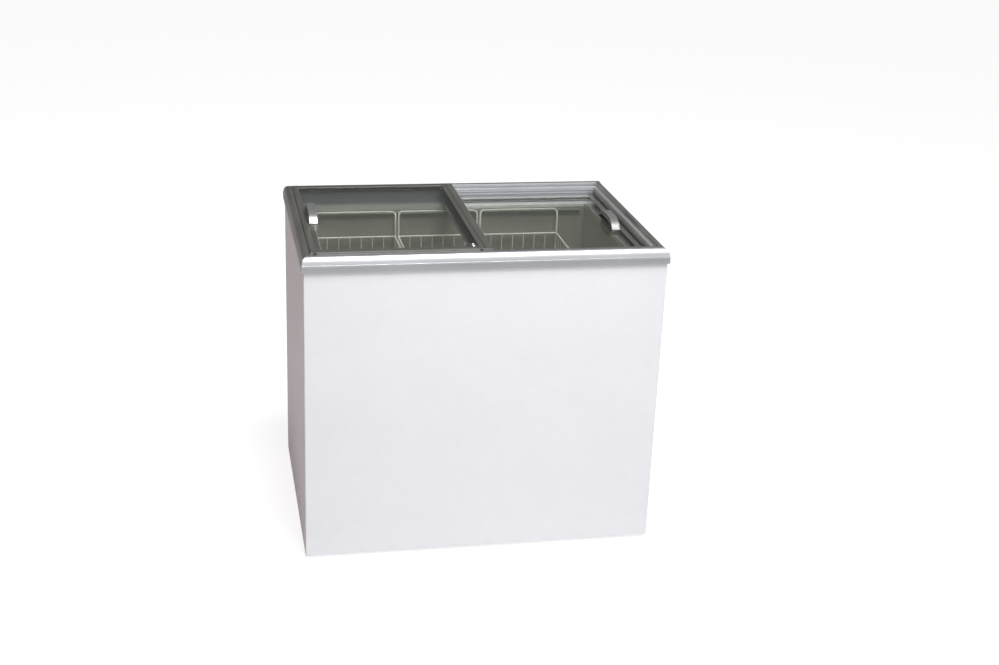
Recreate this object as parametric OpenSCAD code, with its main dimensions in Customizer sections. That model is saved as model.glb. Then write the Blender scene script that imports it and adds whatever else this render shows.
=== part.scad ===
// Chest freezer with two sliding glass lids, three hanging wire baskets and a
// compressor compartment under the raised right end of its tank.
// X runs along the width, the front faces -Y, Z is up and Z = 0 is the floor.

/* [Cabinet] */
// Width over the outer panels
body_w = 1000; // [900:10:1200]
// Depth over the outer panels
body_d = 730; // [660:10:800]
// Height of the outer panels below the rim
panel_h = 842; // [780:2:900]
// Height of the feet
foot_h = 8; // [6:1:20]
// Thickness of the insulated wall
wall = 66; // [60:1:75]
// Thickness of the outer and inner sheets
sheet = 0.8; // [0.6:0.1:1.2]

/* [Rim] */
// How far the rim stands out past the panels
rim_over = 5; // [3:1:8]
// Height of the rim's upright band
rim_band = 20; // [14:1:26]
// Radius of the rim's rounded upper edge
rim_round = 20; // [16:1:21]
// Wall thickness of the rim extrusions
rim_wall = 2; // [1.6:0.2:2.4]

/* [Lids] */
// Gap left of centre to the right end of the upper lid
lid_lap = 13; // [8:1:20]
// How far each lid slides
lid_travel = 405; // [300:5:405]
// Height of a lid's frame
frame_h = 14; // [12:1:15]
// Thickness of the glass
glass_t = 4; // [3:0.5:5]
// Length of a handle
handle_l = 160; // [120:5:200]
// Width of a handle
handle_w = 24; // [18:1:28]
// Height of a handle above the glass
handle_h = 30; // [24:1:32]

/* [Baskets] */
// Outer width of one basket
basket_w = 252; // [210:1:252]
// Depth of a basket below its top wire
basket_h = 230; // [150:5:300]
// Spacing of the basket wires
wire_pitch = 33; // [25:1:50]

/* [Compartment] */
// Width of the compressor compartment
comp_w = 250; // [230:5:280]
// Height of the compressor compartment
comp_h = 240; // [230:5:260]

/* [Hidden] */
$fn = 48;

// Cabinet planes
half_w = body_w / 2;
half_d = body_d / 2;
rim_x = half_w + rim_over;
rim_y = half_d + rim_over;
panel_z = foot_h;
rim_z = foot_h + panel_h;
rim_step = 2;
top_z = rim_z + rim_band + rim_step + rim_round;

// Tank
tank_x = half_w - wall;
tank_y = half_d - wall;
tank_floor = panel_z + wall + 4;
step_x = half_w - comp_w - 48;
step_floor = panel_z + comp_h + 48;
comp_x = half_w - comp_w;
comp_top = panel_z + comp_h;

// Rim steps: the upper and the lower track of each extrusion
upper_track_z = top_z - 13;
lower_track_z = top_z - 50.5;
long_tread = [33, 49, wall + rim_over];
end_tread = [25, 37, wall + rim_over];
tank_top = lower_track_z - rim_wall - 1;

// Lids
glide_h = 3.5;
upper_z = upper_track_z + glide_h;
lower_z = lower_track_z + 3;
upper_y = rim_y - long_tread[0] - 2;
lower_y = rim_y - long_tread[1] - 2;
upper_left = -rim_x + end_tread[0] + 1;
upper_right = lid_lap;
lower_left = -lid_lap - 9;
lower_right = rim_x - end_tread[1] - 4;
rail_w = 24;
end_w = 17;
meeting_w = 35;
under_w = 30;
lip_t = 1.6;
channel = 8;
glass_low = frame_h - lip_t - glass_t;
skirt_h = 21;
handle_gap = 19;
handle_y = 6;
lock_x = lid_lap - meeting_w - 13;
lock_y = -upper_y + rail_w + 11;

// Cooling unit, back cover and drain
unit_x = comp_x + comp_w / 2;
unit_y = 170;
plate_z = panel_z + sheet + 1.2;
grille_y = half_d - 17;
knob_x = half_w - 46;
knob_z = panel_z + 170;
gland_z = panel_z + 62;
drain_x = -half_w + 90;
drain_z = panel_z + 36;

// Baskets
basket_left_x = -291;
basket_middle_x = -35;
basket_right_x = 221;
basket_z = 743;
basket_y = 284;
hang_y = 294;
hang_z = 820;
wire_r = 3;
thin_wire = 3;
ledge_z = hang_z - wire_r - 0.3;
hoop_bend = 5;

// ---------- Cabinet shell ----------

// Front and both sides, folded from one painted sheet with a hem along the bottom
module outer_wrap() {
    hem = 14;
    color("#ebebef") difference() {
        translate([-half_w, -half_d, panel_z]) cube([body_w, body_d - sheet, panel_h + rim_band - 2]);
        translate([-half_w + sheet, -half_d + sheet, panel_z + sheet])
            cube([body_w - 2 * sheet, body_d, panel_h + rim_band]);
        translate([-half_w + hem, -half_d + hem, panel_z - 1]) cube([body_w - 2 * hem, body_d, 3]);
    }
}

// Sheet that closes the back, open where the compartment breathes
module rear_panel() {
    margin = 16;
    color("#d9dadc") difference() {
        translate([-half_w, half_d - sheet, panel_z]) cube([body_w, sheet, panel_h + rim_band - 2]);
        translate([comp_x + margin, half_d - 2, panel_z + margin])
            cube([comp_w - 2 * margin, 4, comp_h - 2 * margin]);
        translate([drain_x, half_d + 1, drain_z]) rotate([90, 0, 0]) cylinder(r = 11, h = 4);
        grille_screw_places() translate([0, 0, -4]) cylinder(r = 2.3, h = 8);
    }
}

// Galvanised floor under the foam and the compartment, with two runners for the feet
module base_pan() {
    color("#a9abad") difference() {
        union() {
            translate([-half_w + sheet, -half_d + sheet, panel_z + sheet])
                cube([body_w - 2 * sheet, body_d - 2 * sheet, 1.2]);
            for (x = [-1, 1])
                translate([x * (half_w - 75) - 22, -half_d + 20, panel_z - 2]) cube([44, body_d - 40, 2.8]);
        }
        for (i = [0:5])
            translate([comp_x + 60 + i * 26, -70, panel_z - 1]) cube([10, 140, 5]);
    }
}

// The tank's L-shaped side view, widened all round by grow
module tank_side(grow, top) {
    polygon([[-tank_x - grow, tank_floor - grow], [step_x + grow, tank_floor - grow],
        [step_x + grow, step_floor - grow], [tank_x + grow, step_floor - grow],
        [tank_x + grow, top], [-tank_x - grow, top]]);
}

module tank_block(grow, top) {
    translate([0, tank_y + grow, 0]) rotate([90, 0, 0])
        linear_extrude(2 * (tank_y + grow)) tank_side(grow, top);
}

// Foam poured between the sheets, with pockets for the two coils
module foam_block() {
    evaporator_gap = 9.5;
    condenser_gap = 8;
    inner_w = body_w - 2 * sheet;
    inner_d = body_d - 2 * sheet;
    color("#e6d9a8") difference() {
        translate([-inner_w / 2, -inner_d / 2, panel_z + sheet + 1.2])
            cube([inner_w, inner_d, tank_top - panel_z - sheet - 1.2]);
        tank_block(sheet, tank_top + 1);
        translate([0, 0, 515])
            cube([2 * (tank_x + sheet + evaporator_gap), 2 * (tank_y + sheet + evaporator_gap), 400], center = true);
        difference() {
            translate([-half_w, -half_d, 290]) cube([body_w, body_d - 26, 470]);
            translate([-half_w + sheet + condenser_gap, -half_d + sheet + condenser_gap, 280])
                cube([body_w - 2 * (sheet + condenser_gap), body_d, 500]);
        }
        translate([comp_x - sheet, -half_d, panel_z]) cube([comp_w, body_d, comp_h + sheet]);
        translate([drain_x, 0, drain_z]) {
            rotate([-90, 0, 0]) cylinder(r = 10, h = half_d);
            cylinder(r = 10, h = wall);
            sphere(r = 10);
        }
    }
}

// Embossed aluminium tank with its step over the compartment
module liner() {
    color("#c9cdca") difference() {
        tank_block(sheet, tank_top);
        tank_block(0, tank_top + 1);
        translate([drain_x, 0, tank_floor - 2]) cylinder(r = 12, h = 4);
    }
}

// Sheet roof and wall that keep the foam out of the compartment
module compartment_wall() {
    depth = body_d - 2 * sheet;
    color("#b4b6b8") {
        translate([comp_x - sheet, -depth / 2, comp_top]) cube([comp_w, depth, sheet]);
        translate([comp_x - sheet, -depth / 2, panel_z + 2]) cube([sheet, depth, comp_h - 2]);
    }
}

// One level of tube: straight runs joined by quarter bends, round the given half sizes
module tube_ring(hx, hy, bend, r) {
    for (s = [-1, 1]) {
        translate([-hx + bend, s * hy, 0]) rotate([0, 90, 0]) cylinder(r = r, h = 2 * (hx - bend));
        translate([s * hx, -hy + bend, 0]) rotate([-90, 0, 0]) cylinder(r = r, h = 2 * (hy - bend));
    }
    for (a = [0, 1, 2, 3]) {
        sx = (a == 0 || a == 3) ? 1 : -1;
        sy = a < 2 ? 1 : -1;
        translate([sx * (hx - bend), sy * (hy - bend), 0]) rotate([0, 0, a * 90])
            rotate_extrude(angle = 90) translate([bend, 0]) circle(r);
    }
}

// Cold tube wound round the tank wall
module evaporator_coil() {
    r = 4;
    hx = tank_x + sheet + r + 0.2;
    hy = tank_y + sheet + r + 0.2;
    levels = 6;
    color("#c98a5b") {
        for (i = [0:levels - 1])
            translate([0, 0, 335 + i * 70]) tube_ring(hx, hy, 4.6, r);
        translate([tank_x - 60, hy, 335]) cylinder(r = r, h = 70 * (levels - 1));
    }
}

// Warm tube laid against the inside of the outer panels
module condenser_coil() {
    r = 2.5;
    hx = half_w - sheet - r - 0.2;
    front = -half_d + sheet + r + 0.2;
    rear = half_d - 60;
    bend = 8;
    levels = 8;
    pitch = 56;
    z0 = 320;
    color("#9a5f3c") {
        for (i = [0:levels - 1]) translate([0, 0, z0 + i * pitch]) {
            translate([-hx + bend, front, 0]) rotate([0, 90, 0]) cylinder(r = r, h = 2 * (hx - bend));
            for (s = [-1, 1]) {
                translate([s * hx, front + bend, 0]) rotate([-90, 0, 0]) cylinder(r = r, h = rear - front - bend);
                translate([s * (hx - bend), front + bend, 0]) rotate([0, 0, s > 0 ? -90 : 180])
                    rotate_extrude(angle = 90) translate([bend, 0]) circle(r);
            }
        }
        for (i = [0:levels - 2])
            translate([(i % 2 == 0 ? 1 : -1) * hx, rear, z0 + (i + 0.5) * pitch])
                rotate([90, 0, 90]) rotate([0, 0, -90])
                    rotate_extrude(angle = 180) translate([pitch / 2, 0]) circle(r);
    }
}

// Plastic trim that covers the tank's top edge and seals it to the rim
module liner_collar() {
    cover = 14;
    flange = 10;
    t = 2;
    color("#d4d8d5") difference() {
        union() {
            translate([-tank_x, -tank_y, tank_top - cover])
                cube([2 * tank_x, 2 * tank_y, lower_track_z - tank_top + cover]);
            translate([-tank_x - flange, -tank_y - flange, tank_top])
                cube([2 * (tank_x + flange), 2 * (tank_y + flange), lower_track_z - rim_wall - tank_top]);
        }
        translate([0, 0, tank_top]) cube([2 * (tank_x - t), 2 * (tank_y - t), 100], center = true);
        rim_screw_places() translate([0, 0, -5]) cylinder(r = 1.75, h = 10);
    }
}

// ---------- Rim ----------

// Section made of upright and level bars, each [x, y, width, height]
module bars(list) {
    for (b = list)
        translate([b[0], b[1]]) square([b[2], b[3]]);
}

// Section of a rim cap, x in from the outer face and y up: a proud band below a rounded edge
module cap_section(tread) {
    t = rim_wall;
    r = rim_round;
    flat_x = rim_step + r;
    bars([
        [0, rim_z, t, rim_band],
        [0, rim_z + rim_band - t, rim_step + t, t],
        [rim_step, rim_z + rim_band - t, t, rim_step + t],
        [flat_x, top_z - t, tread[0] - flat_x, t],
        [tread[0] - t, upper_track_z, t, top_z - upper_track_z],
    ]);
    translate([flat_x, top_z - r]) intersection() {
        difference() {
            circle(r, $fn = 96);
            circle(r - t, $fn = 96);
        }
        translate([-r, 0]) square([r, r]);
    }
}

// Section of the track that carries a cap: a flange under it, then the two treads
module track_section(tread) {
    t = rim_wall;
    flange = 8;
    bars([
        [tread[0] - flange, upper_track_z - t, tread[1] - tread[0] + flange, t],
        [tread[1] - t, lower_track_z - t, t, upper_track_z - lower_track_z + t],
        [tread[1] - t, lower_track_z - t, tread[2] - tread[1] + t, t],
    ]);
}

// One side of the rim, mitred at both ends to meet the treads of the sides next to it
module rim_side(length, tread, next) {
    l = length / 2;
    intersection() {
        translate([-l, 0, 0]) rotate([90, 0, 90]) linear_extrude(length) children();
        linear_extrude(top_z + 10)
            polygon([[-l, 0], [l, 0], [l - next[1], tread[1]], [l - next[2] - 1, tread[2] + 1],
                [-l + next[2] + 1, tread[2] + 1], [-l + next[1], tread[1]]]);
    }
}

module long_cap() {
    translate([0, -rim_y, 0]) rim_side(2 * rim_x, long_tread, end_tread) cap_section(long_tread);
}

module end_cap() {
    rotate([0, 0, 90]) translate([0, -rim_x, 0])
        rim_side(2 * rim_y, end_tread, long_tread) cap_section(end_tread);
}

module long_track() {
    difference() {
        translate([0, -rim_y, 0]) rim_side(2 * rim_x, long_tread, end_tread) track_section(long_tread);
        rim_screw_places() translate([0, 0, -5]) cylinder(r = 1.75, h = 10);
    }
}

module end_track() {
    rotate([0, 0, 90]) translate([0, -rim_x, 0])
        rim_side(2 * rim_y, end_tread, long_tread) track_section(end_tread);
}

// Four aluminium caps clipped over the tracks
module rim_front() {
    color("#b4b7ba") long_cap();
}

module rim_rear() {
    color("#b4b7ba") rotate([0, 0, 180]) long_cap();
}

module rim_left() {
    color("#8b8d8c") rotate([0, 0, 180]) end_cap();
}

module rim_right() {
    color("#8b8d8c") end_cap();
}

// Four stepped tracks that the lids slide on
module track_front() {
    color("#9b9e9f") long_track();
}

module track_rear() {
    color("#9b9e9f") rotate([0, 0, 180]) long_track();
}

module track_left() {
    color("#7f8180") rotate([0, 0, 180]) end_track();
}

module track_right() {
    color("#7f8180") end_track();
}

// Stop in the front track that the lock's cam turns against
module lock_keeper() {
    color("#8f9192")
        translate([lock_x + 4.4, -rim_y + long_tread[0] + 0.3, upper_track_z]) cube([9.6, 5.1, 3.2]);
}

// Countersunk screws that hold the front and rear tracks down on the tank's flange
module rim_screw_places() {
    for (x = [-360, -120, 120, 360], s = [-1, 1])
        translate([x, s * (rim_y - 67.5), lower_track_z]) children();
}

module rim_screws() {
    color("#8f9192") rim_screw_places() {
        cylinder(r = 3, h = 1.2);
        translate([0, 0, -rim_wall - 0.9]) cylinder(r = 1.7, h = rim_wall + 1);
    }
}

// Ledge along the front or the rear wall that the baskets hang on
module basket_rail() {
    l = 2 * tank_x - 30;
    color("#dfe1df") {
        translate([-l / 2, -tank_y, ledge_z - 18]) cube([l, 1.6, 18]);
        translate([-l / 2, -tank_y, ledge_z - 1.6]) cube([l, 9.5, 1.6]);
    }
}

module basket_rail_front() {
    basket_rail();
}

module basket_rail_rear() {
    mirror([0, 1, 0]) basket_rail();
}

// Four low feet under the runners
module feet() {
    color("#2e2e30")
        for (x = [-1, 1], y = [-1, 1])
            translate([x * (half_w - 75), y * (half_d - 60), 0]) cylinder(r = 19, h = panel_z - 2);
}

// ---------- Cooling unit ----------

// Pressed plate that carries the compressor
module compressor_plate() {
    color("#8c8f91") difference() {
        translate([unit_x - 105, unit_y - 85, plate_z]) cube([210, 170, 2]);
        for (x = [-1, 1], y = [-1, 1])
            translate([unit_x + x * 70, unit_y + y * 55, plate_z - 1]) cylinder(r = 4.05, h = 4);
    }
}

// Hermetic compressor: welded shell with a seam flange and four legs
module compressor_shell() {
    leg_z = plate_z + 2 + 14;
    color("#26272a") translate([unit_x, unit_y, 0]) {
        difference() {
            for (x = [-1, 1])
                translate([x * 70 - 14, -68, leg_z]) cube([28, 136, 3]);
            for (x = [-1, 1], y = [-1, 1])
                translate([x * 70, y * 55, leg_z - 1]) cylinder(r = 6.1, h = 5);
        }
        translate([0, 0, leg_z]) cylinder(r = 62, h = 75);
        translate([0, 0, leg_z + 60]) cylinder(r = 68, h = 4);
        translate([0, 0, leg_z + 64]) cylinder(r = 64, h = 46);
        translate([0, 0, leg_z + 110]) cylinder(r1 = 64, r2 = 46, h = 16);
        translate([-58, 0, leg_z]) cube([116, 40, 3]);
        translate([-58, -40, leg_z]) cube([116, 40, 3]);
    }
}

// Rubber mounts between the plate and the compressor's legs
module compressor_grommets() {
    color("#3b3b3d")
        for (x = [-1, 1], y = [-1, 1])
            translate([unit_x + x * 70, unit_y + y * 55, plate_z + 2]) difference() {
                union() {
                    cylinder(r = 11, h = 14);
                    cylinder(r = 6, h = 17);
                    translate([0, 0, 17]) cylinder(r = 10, h = 4);
                }
                translate([0, 0, -1]) cylinder(r = 4.05, h = 24);
            }
}

// Bolts up through the plate and the rubber mounts
module compressor_bolts() {
    color("#a7a9ab")
        for (x = [-1, 1], y = [-1, 1])
            translate([unit_x + x * 70, unit_y + y * 55, plate_z + 0.1]) {
                cylinder(r = 4, h = 28);
                translate([0, 0, 22.9]) cylinder(r = 7.5, h = 6, $fn = 6);
            }
}

// Plastic cover over the compressor's starting relay
module relay_cover() {
    color("#1f2023") translate([unit_x - 30, unit_y - 101, plate_z + 28]) cube([60, 38.8, 46]);
}

// Copper drier in the liquid line
module filter_drier() {
    color("#c07c4b") translate([comp_x + 30, 40, 120]) {
        cylinder(r = 11, h = 90);
        translate([0, 0, 90]) cylinder(r1 = 11, r2 = 4, h = 14);
        translate([0, 0, -14]) cylinder(r1 = 4, r2 = 11, h = 14);
    }
}

// A copper pipe that leaves the shell, rises beside it and bends over to the compartment wall
module pipe_run(side, rise, r) {
    bend = 20;
    x0 = unit_x - 68 - 2 * r;
    reach = x0 - comp_x - 0.2;
    translate([x0, unit_y + side * 36, plate_z + 40]) {
        rotate([0, 90, 0]) cylinder(r = r, h = 14 + 2 * r);
        sphere(r);
        cylinder(r = r, h = rise);
        translate([-bend, 0, rise]) rotate([90, 0, 0])
            rotate_extrude(angle = 90) translate([bend, 0]) circle(r);
        translate([-reach, 0, rise + bend]) rotate([0, 90, 0]) cylinder(r = r, h = reach - bend);
    }
}

module suction_line() {
    color("#b87548") pipe_run(1, 110, 4);
}

module discharge_line() {
    color("#b87548") pipe_run(-1, 80, 3);
}

// Places of the grille's four screws, pointing out of the back
module grille_screw_places() {
    for (x = [12, comp_w - 12], z = [12, comp_h - 12])
        translate([comp_x + x, half_d, panel_z + z]) rotate([-90, 0, 0]) children();
}

// Louvred pan that closes the compartment, sunk into the back and flanged to its sheet
module rear_grille() {
    flange = 10;
    t = 1.2;
    x0 = comp_x + 4;
    z0 = panel_z + 4;
    w = comp_w - 8;
    h = comp_h - 8;
    slots = 9;
    color("#c9cbcd") difference() {
        translate([x0, grille_y, z0]) cube([w, half_d - sheet - grille_y, h]);
        translate([x0 + flange + t, grille_y + t, z0 + flange + t])
            cube([w - 2 * (flange + t), 40, h - 2 * (flange + t)]);
        difference() {
            translate([x0 - 1, grille_y - 1, z0 - 1]) cube([w + 2, half_d - sheet - grille_y - t + 1, h + 2]);
            translate([x0 + flange, grille_y - 2, z0 + flange]) cube([w - 2 * flange, 40, h - 2 * flange]);
        }
        for (i = [0:slots - 1])
            translate([x0 + 24, grille_y - 1, z0 + 26 + i * 20]) cube([140, 4, 8]);
        translate([knob_x, grille_y - 1, knob_z]) rotate([-90, 0, 0]) cylinder(r = 5, h = 4);
        translate([knob_x, grille_y - 1, gland_z]) rotate([-90, 0, 0]) cylinder(r = 8.05, h = 4);
        grille_screw_places() translate([0, 0, -4]) cylinder(r = 2.3, h = 8);
    }
}

module grille_screws() {
    color("#8f9192") grille_screw_places() {
        cylinder(r = 4, h = 2);
        translate([0, 0, -9]) cylinder(r = 2.2, h = 9.5);
    }
}

// Thermostat behind the grille, with its hollow bushing through the sheet
module thermostat_body() {
    color("#d8d9d6") difference() {
        union() {
            translate([knob_x - 19, grille_y - 30.2, knob_z - 16]) cube([38, 30, 32]);
            translate([knob_x, grille_y - 0.4, knob_z]) rotate([-90, 0, 0]) cylinder(r = 4.9, h = 2.6);
        }
        translate([knob_x, grille_y - 20, knob_z]) rotate([-90, 0, 0]) cylinder(r = 3.05, h = 30);
    }
}

// Temperature knob and its spindle
module thermostat_knob() {
    color("#3a3b3d") translate([knob_x, grille_y, knob_z]) rotate([-90, 0, 0]) difference() {
        union() {
            translate([0, 0, -14]) cylinder(r = 3, h = 18);
            translate([0, 0, 2.6]) cylinder(r = 16, h = 3);
            translate([0, 0, 2.6]) cylinder(r = 13, h = 13);
        }
        translate([-0.8, -15, 14.6]) cube([1.6, 15, 2]);
    }
}

// Bushing that the mains lead leaves through
module cord_gland() {
    color("#2a2a2c") translate([knob_x, grille_y, gland_z]) rotate([-90, 0, 0]) difference() {
        union() {
            translate([0, 0, 1.2]) cylinder(r = 11, h = 3.6);
            translate([0, 0, -4]) cylinder(r = 8, h = 6);
        }
        translate([0, 0, -5]) cylinder(r = 4, h = 12);
    }
}

// Meltwater pipe from the tank floor to the back of the cabinet
module drain_pipe() {
    r = 9.9;
    bore = 8;
    color("#e4e5e3") difference() {
        union() {
            translate([drain_x, 0, drain_z]) cylinder(r = r, h = tank_floor - drain_z - sheet);
            translate([drain_x, 0, drain_z]) sphere(r);
            translate([drain_x, 0, drain_z]) rotate([-90, 0, 0]) cylinder(r = r, h = rim_y - 0.5);
            translate([drain_x, 0, tank_floor - sheet]) cylinder(r = 11.95, h = sheet + 0.6);
        }
        translate([drain_x, 0, drain_z]) cylinder(r = bore, h = 60);
        translate([drain_x, 0, drain_z]) sphere(bore);
        translate([drain_x, 0, drain_z]) rotate([-90, 0, 0]) cylinder(r = bore, h = half_d + 10);
    }
}

// Cap over the outer end of the drain
module drain_cap() {
    color("#3c3d3f") translate([drain_x, rim_y - 14, drain_z]) rotate([-90, 0, 0]) cylinder(r = 7.95, h = 13);
}

// Plug in the tank floor, pulled out to let meltwater go
module drain_plug() {
    seat = tank_floor + 0.9;
    color("#3f4043") translate([drain_x, 0, seat]) {
        translate([0, 0, -16]) cylinder(r = 7.95, h = 17);
        cylinder(r = 14, h = 3);
        difference() {
            translate([-1.5, -8, 0]) cube([3, 16, 16]);
            translate([-3, 0, 10]) rotate([0, 90, 0]) cylinder(r = 3.5, h = 6);
        }
    }
}

// ---------- Lids ----------

// Section of a frame bar: x runs in from its outer edge, and the glass sits in its open side
module bar_section(w) {
    box_w = w - channel;
    difference() {
        square([box_w, frame_h]);
        translate([lip_t, lip_t]) square([box_w - 2 * lip_t, frame_h - 2 * lip_t]);
    }
    translate([box_w - 0.5, frame_h - lip_t]) square([channel + 0.5, lip_t]);
    translate([box_w - 0.5, glass_low - lip_t]) square([channel + 0.5, lip_t]);
}

// A bar along the front edge of a lid, from x0 to x1
module lid_rail(x0, x1, y, z) {
    translate([x0, -y, z]) rotate([90, 0, 90]) linear_extrude(x1 - x0) bar_section(rail_w);
}

// A bar along the end of a lid: its outer edge is at x and the glass lies towards dir
module lid_stile(x, y, z, w, dir) {
    translate([x, y, z]) rotate([90, 0, 0]) linear_extrude(2 * y) mirror([dir < 0 ? 1 : 0, 0]) bar_section(w);
}

// The pane between the bars of a lid
module lid_glass(x0, x1, y, z, left_w, right_w) {
    bite = channel - 1;
    translate([x0 + left_w - bite, -y + rail_w - bite, z + glass_low])
        cube([x1 - right_w - left_w - x0 + 2 * bite, 2 * (y - rail_w + bite), glass_t]);
}

// Arched bridge handle with two foot pads on a thin base strip, on the glass at height z
module bridge_handle(x, z) {
    leg = 5;
    finger_h = handle_h - 15;
    foot = 16;
    steps = 16;
    half_l = handle_l / 2;
    top = [for (i = [-steps:steps]) [i / steps * half_l, handle_h * (1 - pow(abs(i / steps), 4))]];
    under = [for (i = [steps:-1:-steps])
        [i / steps * (half_l - leg), finger_h * (1 - pow(abs(i / steps), 4))]];
    translate([x - handle_w / 2, handle_y, z]) rotate([90, 0, 90]) linear_extrude(handle_w) {
        polygon(concat(top, under));
        translate([-half_l, 0]) square([handle_l, 1.2]);
        for (s = [0, 1])
            mirror([s, 0]) translate([half_l - foot, 0]) square([foot, 2.6]);
    }
}

// Slide pads under the two long bars of a lid, at the given places along it
module slide_pads(places, y, low, high) {
    for (x = places, s = [-1, 1])
        translate([x - 15, s * y - 3, low + 0.3]) cube([30, 6, high - low - 0.3]);
}

module upper_glass() {
    color("#a9b4ae", 0.35) difference() {
        lid_glass(upper_left, upper_right, upper_y, upper_z, end_w, meeting_w);
        translate([lock_x, lock_y, upper_z]) cylinder(r = 8.1, h = 30);
    }
}

module upper_front_rail() {
    color("#6f7170") lid_rail(upper_left + end_w, upper_right - meeting_w, upper_y, upper_z);
}

module upper_rear_rail() {
    color("#6f7170") mirror([0, 1, 0])
        lid_rail(upper_left + end_w, upper_right - meeting_w, upper_y, upper_z);
}

module upper_end_stile() {
    color("#7b7d7b") lid_stile(upper_left, upper_y, upper_z, end_w, 1);
}

// Wide bar where the lids meet, with two grooves on top and a skirt down to the lower lid
module upper_meeting_stile() {
    color("#6b6c6b") {
        difference() {
            lid_stile(upper_right, upper_y, upper_z, meeting_w, -1);
            for (x = [19, 23])
                translate([upper_right - x - 2, -upper_y - 1, upper_z + frame_h - 1])
                    cube([2, 2 * upper_y + 2, 2]);
        }
        translate([upper_right - 2, -lower_y, upper_z - skirt_h]) cube([2, 2 * lower_y, skirt_h + 1]);
    }
}

// Brush strip behind the skirt that closes the gap over the lower lid
module upper_brush() {
    color("#2b2b2c") translate([upper_right - 6, -lower_y, lower_z + frame_h + 0.6])
        cube([4, 2 * lower_y, upper_z - lower_z - frame_h - 0.6]);
}

module upper_handle() {
    color("#a3a5a4") bridge_handle(upper_left + handle_gap + handle_w / 2, upper_z + glass_low + glass_t);
}

// Plastic keys in the inner corners of the upper lid's frame, under the glass
module upper_corner_blocks() {
    block = [12, 18, glass_low - lip_t];
    color("#4d4e4d")
        for (s = [0, 1]) mirror([0, s, 0]) {
            translate([upper_left + end_w - channel, upper_y - rail_w + channel - block[1], upper_z]) cube(block);
            translate([upper_right - meeting_w + channel - block[0], upper_y - rail_w + channel - block[1], upper_z])
                cube(block);
        }
}

module upper_glides() {
    color("#dcdcda") slide_pads([upper_left + 70, upper_right - 140], upper_y - 7, upper_track_z, upper_z);
}

// Bright collar of the lock, fixed through the glass
module lock_housing() {
    color("#c6c8ca") translate([lock_x, lock_y, 0]) difference() {
        union() {
            translate([0, 0, upper_z]) cylinder(r = 8, h = glass_low + glass_t + 0.1);
            translate([0, 0, upper_z + glass_low + glass_t]) cylinder(r = 11, h = 2.6);
        }
        translate([0, 0, upper_z - 1]) cylinder(r = 6, h = 30);
    }
}

// Key barrel with the cam that turns out under the front bar against the keeper
module lock_barrel() {
    cam_z = upper_track_z + 0.7;
    color("#b2b4b6") translate([lock_x, lock_y, 0]) difference() {
        union() {
            translate([0, 0, cam_z]) cylinder(r = 5.95, h = upper_z + glass_low + glass_t + 2.2 - cam_z);
            translate([-36.5, -4, cam_z]) cube([36.5, 8, 2.2]);
        }
        translate([-0.6, -3, upper_z + glass_low + glass_t + 0.6]) cube([1.2, 6, 4]);
    }
}

module lower_glass() {
    color("#a9b4ae", 0.35) lid_glass(lower_left, lower_right, lower_y, lower_z, under_w, end_w);
}

module lower_front_rail() {
    color("#c9ccca") lid_rail(lower_left + under_w, lower_right - end_w, lower_y, lower_z);
}

module lower_rear_rail() {
    color("#c9ccca") mirror([0, 1, 0])
        lid_rail(lower_left + under_w, lower_right - end_w, lower_y, lower_z);
}

module lower_end_stile() {
    color("#8b8d8c") lid_stile(lower_right, lower_y, lower_z, end_w, -1);
}

module lower_meeting_stile() {
    color("#8b8d8c") lid_stile(lower_left, lower_y, lower_z, under_w, 1);
}

module lower_handle() {
    color("#a3a5a4") bridge_handle(lower_right - handle_gap - handle_w / 2, lower_z + glass_low + glass_t);
}

module lower_glides() {
    color("#dcdcda") slide_pads([lower_left + 90, lower_right - 70], lower_y - 6.5, lower_track_z, lower_z);
}

// ---------- Baskets ----------

// Upright bars at the wire pitch across w, with level bars at the given heights, all h high
module wire_grid(w, h, levels) {
    spaces = round(w / wire_pitch);
    for (i = [0:spaces])
        translate([i * (w - thin_wire) / spaces, 0]) square([thin_wire, h]);
    for (z = levels)
        translate([0, z]) square([w, thin_wire]);
}

// The hoop at the front of a basket: down both sides and over onto the wall's ledge
module hoop(hx) {
    inner_z = hang_z - hoop_bend;
    translate([-hx + hoop_bend, -hang_y, hang_z]) rotate([0, 90, 0])
        cylinder(r = wire_r, h = 2 * (hx - hoop_bend));
    for (s = [0, 1]) mirror([s, 0, 0]) {
        translate([hx - hoop_bend, -hang_y + hoop_bend, hang_z]) rotate([0, 0, -90])
            rotate_extrude(angle = 90) translate([hoop_bend, 0]) circle(wire_r);
        translate([hx, -hang_y + hoop_bend, inner_z]) rotate([90, 0, 90])
            rotate_extrude(angle = 90) translate([hoop_bend, 0]) circle(wire_r);
        translate([hx, -basket_y, basket_z]) cylinder(r = wire_r, h = inner_z - basket_z);
    }
}

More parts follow.
